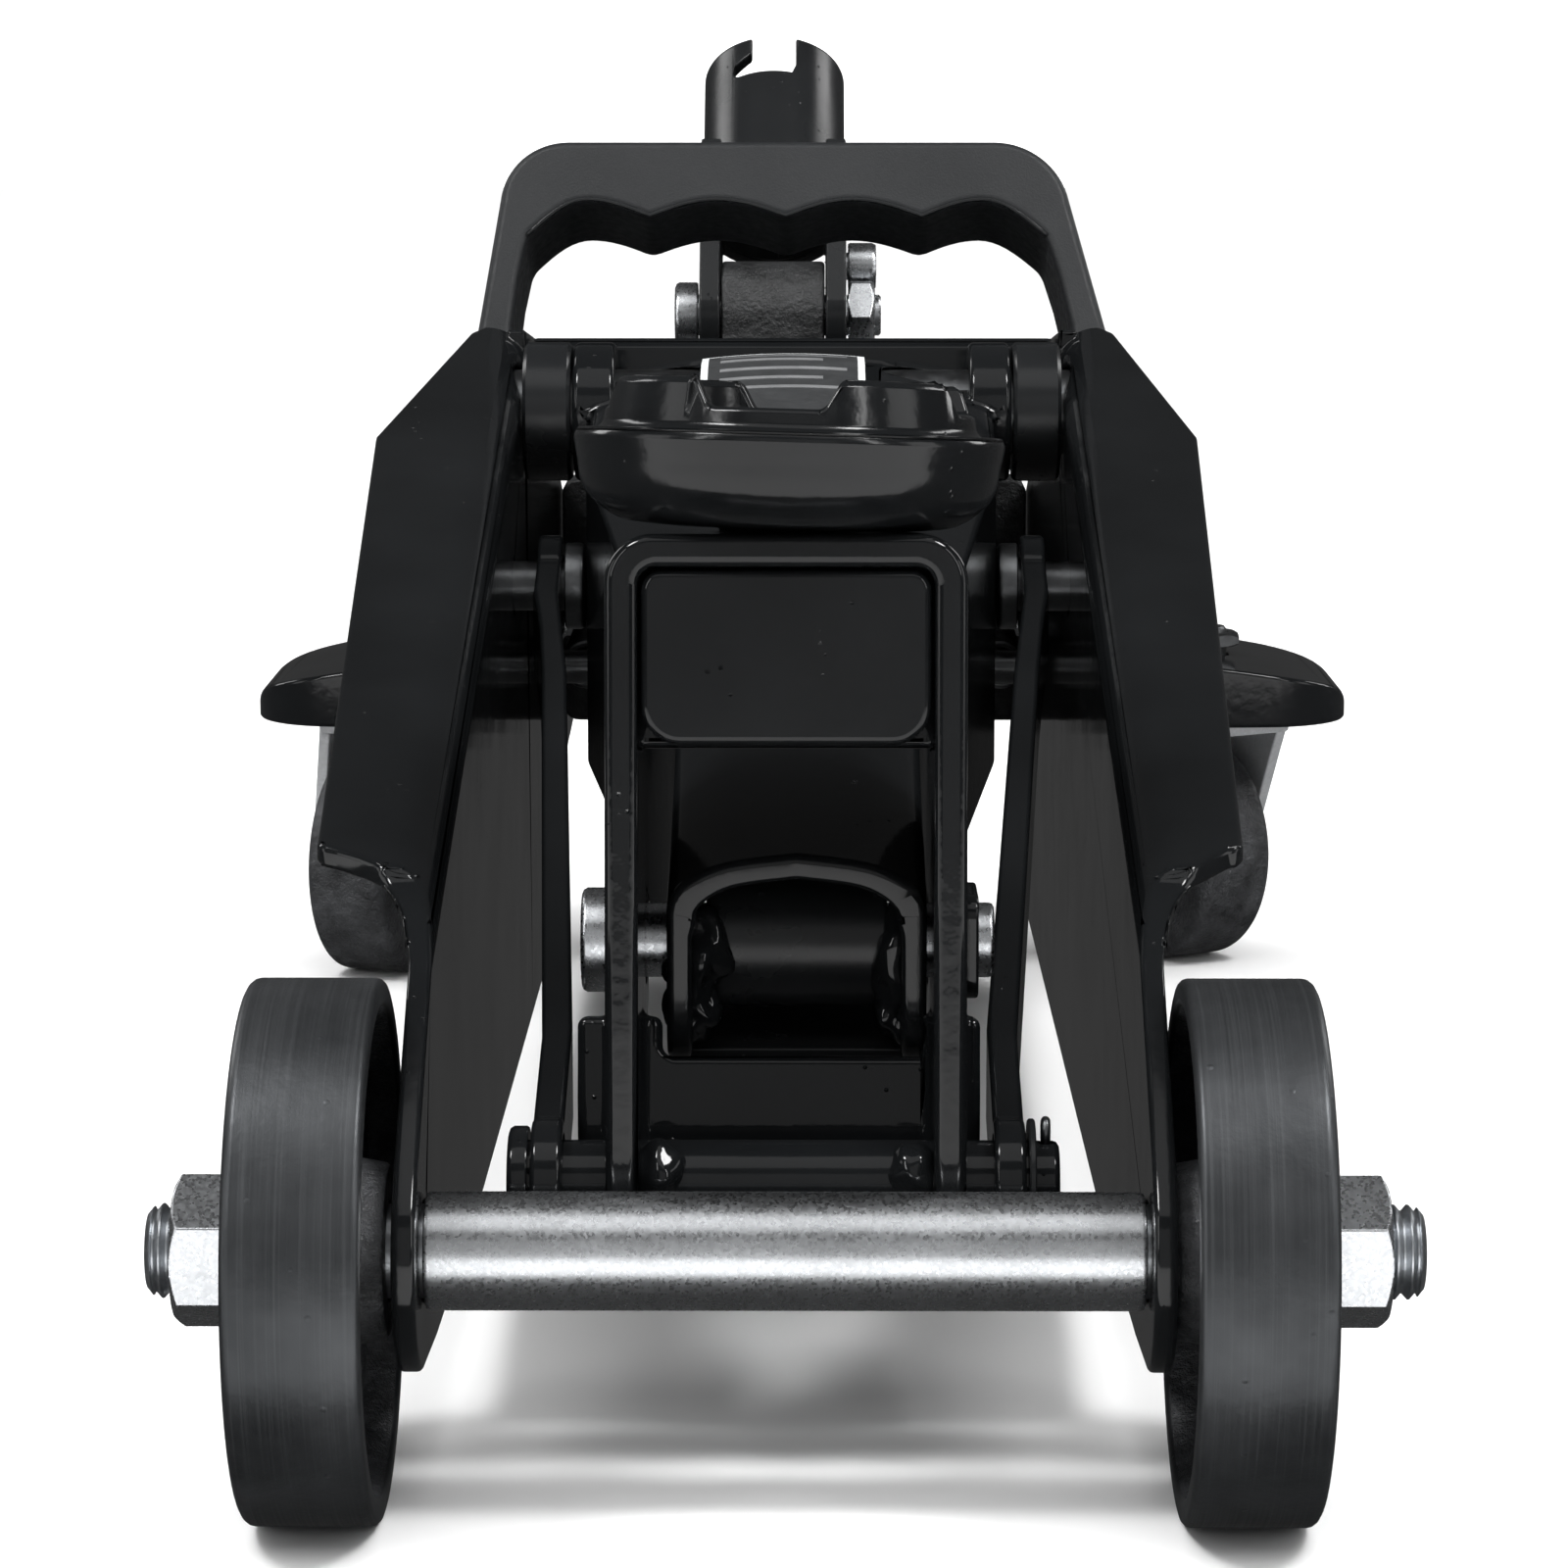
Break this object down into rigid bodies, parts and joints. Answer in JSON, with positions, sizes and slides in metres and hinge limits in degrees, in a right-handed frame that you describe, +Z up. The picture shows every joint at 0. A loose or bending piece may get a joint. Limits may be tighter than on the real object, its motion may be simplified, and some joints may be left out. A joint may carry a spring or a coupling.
{
  "type": "hydraulic floor jack",
  "caption": "Low trolley jack: side plates on iron wheels and swivel casters, a pumped lift arm with a turning saddle, a carry handle and a socket for the pump bar.",
  "frame": {"origin": "middle of the footprint on the floor, halfway between the front wheels' foremost point and the socket's rearmost point", "axes": "+Z up, +Y from the saddle end to the handle end, +X to the right seen from the saddle end"},
  "size_m": [0.214, 0.4499, 0.1829],
  "materials": {
    "black_paint": "thick glossy black paint with runs and small dust specks",
    "zinc_plate": "bright zinc plating with a faint mottled spangle",
    "wheel_iron": "dark satin iron, turned tread, rough cast inside",
    "black_plastic": "matte moulded black plastic with a fine grain",
    "dark_steel": "dark oiled steel",
    "hard_chrome": "ground and chromed rod",
    "block_iron": "cast block under black paint"
  },
  "bodies": {
    "frame": {"side_plate_left": "black_paint", "side_plate_right": "black_paint", "front_axle": "zinc_plate", "axle_spacer_tube": "zinc_plate", "axle_nut_left": "zinc_plate", "axle_nut_right": "zinc_plate", "arm_pivot_pin": "dark_steel", "arm_pivot_spacer_left": "dark_steel", "arm_pivot_spacer_right": "dark_steel", "link_pivot_bolt_left": "dark_steel", "link_pivot_bolt_right": "dark_steel", "power_unit_block": "block_iron", "reservoir_tube": "black_paint", "cylinder_tube": "dark_steel", "cylinder_gland": "black_paint", "filler_plug": "zinc_plate", "power_unit_stud_left": "zinc_plate", "power_unit_stud_right": "zinc_plate", "return_spring_left": "dark_steel", "return_spring_right": "dark_steel", "pump_spring": "dark_steel", "top_cover": "black_paint", "carry_handle": "black_plastic", "carry_handle_bolt_left": "dark_steel", "carry_handle_bolt_right": "dark_steel", "handle_pivot_bolt": "zinc_plate", "handle_pivot_nut": "zinc_plate", "caster_kingpin_left": "zinc_plate", "caster_kingpin_right": "zinc_plate"},
    "front_wheel_left": {"front_wheel_left": "wheel_iron"},
    "front_wheel_right": {"front_wheel_right": "wheel_iron"},
    "arm": {"lift_arm": "black_paint", "arm_cross_tube": "black_paint", "arm_pin": "zinc_plate", "arm_pin_clip": "black_paint", "ram_pin": "dark_steel"},
    "bracket": {"saddle_bracket": "black_paint", "bracket_front_panel": "black_paint", "lower_shaft": "black_paint", "shaft_washer": "zinc_plate", "cotter_pin": "dark_steel"},
    "saddle": {"saddle": "black_paint", "saddle_retaining_ring": "dark_steel"},
    "links": {"radius_link_left": "black_paint", "radius_link_right": "black_paint"},
    "ram": {"ram": "hard_chrome", "spring_anchor_bar": "dark_steel"},
    "handle": {"handle_socket": "black_paint", "handle_lock_screw": "zinc_plate", "pump_roller_pin": "zinc_plate"},
    "pump_roller": {"pump_roller": "dark_steel"},
    "pump": {"pump_plunger": "hard_chrome"},
    "release_valve": {"release_valve": "zinc_plate"},
    "caster_left": {"caster_fork_left": "zinc_plate", "caster_axle_left": "zinc_plate"},
    "caster_wheel_left": {"caster_wheel_left": "wheel_iron"},
    "caster_right": {"caster_fork_right": "zinc_plate", "caster_axle_right": "zinc_plate"},
    "caster_wheel_right": {"caster_wheel_right": "wheel_iron"}
  },
  "joints": [
    {"name": "front_wheel_left_spin", "type": "hinge", "parent": "frame", "child": "front_wheel_left", "pos_m": [-0.0584, -0.19095, 0.034], "axis": [1, 0, 0], "continuous": true},
    {"name": "front_wheel_right_spin", "type": "hinge", "parent": "frame", "child": "front_wheel_right", "pos_m": [0.0574, -0.19095, 0.034], "axis": [1, 0, 0], "continuous": true},
    {"name": "arm_lift", "type": "hinge", "parent": "frame", "child": "arm", "pos_m": [0, 0.03405, 0.121], "axis": [-1, 0, 0], "range_deg": [0, 67]},
    {"name": "bracket_level", "type": "hinge", "parent": "arm", "child": "bracket", "pos_m": [0, -0.14095, 0.064], "axis": [-1, 0, 0], "range_deg": [-67, 0]},
    {"name": "saddle_spin", "type": "hinge", "parent": "bracket", "child": "saddle", "pos_m": [0, -0.15303, 0.12005], "axis": [0.0297, 0.0871, 0.9958], "continuous": true},
    {"name": "link_swing", "type": "hinge", "parent": "frame", "child": "links", "pos_m": [0, 0.00405, 0.095], "axis": [-1, 0, 0], "range_deg": [0, 67]},
    {"name": "ram_slide", "type": "slide", "parent": "frame", "child": "ram", "axis": [0, -1, 0], "range_m": [0, 0.0608], "deforming": ["return_spring_left", "return_spring_right"]},
    {"name": "handle_pump", "type": "hinge", "parent": "frame", "child": "handle", "pos_m": [-0.0042, 0.17405, 0.129], "axis": [1, 0, 0], "range_deg": [0, 42]},
    {"name": "pump_roller_spin", "type": "hinge", "parent": "handle", "child": "pump_roller", "pos_m": [-0.0042, 0.19205, 0.119], "axis": [1, 0, 0], "continuous": true},
    {"name": "pump_plunger_slide", "type": "slide", "parent": "frame", "child": "pump", "axis": [0, 0, 1], "range_m": [0, 0.0147], "deforming": ["pump_spring"]},
    {"name": "release_valve_turn", "type": "hinge", "parent": "frame", "child": "release_valve", "pos_m": [0.018, 0.20905, 0.078], "axis": [0, 1, 0], "range_deg": [0, 180]},
    {"name": "caster_swivel_left", "type": "hinge", "parent": "frame", "child": "caster_left", "pos_m": [-0.0784, 0.17505, 0.05], "axis": [0, 0, 1], "continuous": true},
    {"name": "caster_wheel_left_spin", "type": "hinge", "parent": "caster_left", "child": "caster_wheel_left", "pos_m": [-0.08103, 0.16644, 0.022], "axis": [0.9563, -0.2924, 0], "continuous": true},
    {"name": "caster_swivel_right", "type": "hinge", "parent": "frame", "child": "caster_right", "pos_m": [0.0816, 0.17505, 0.05], "axis": [0, 0, 1], "continuous": true},
    {"name": "caster_wheel_right_spin", "type": "hinge", "parent": "caster_right", "child": "caster_wheel_right", "pos_m": [0.0771, 0.18284, 0.022], "axis": [0.866, 0.5, 0], "continuous": true}
  ],
  "couplings": [
    {"joint": "bracket_level", "follows": "arm_lift", "ratio": -1},
    {"joint": "link_swing", "follows": "arm_lift", "ratio": 1},
    {"joint": "ram_slide", "follows": "arm_lift", "m_per_rad": 0.05192},
    {"joint": "pump_plunger_slide", "follows": "handle_pump", "m_per_rad": 0.0199}
  ]
}
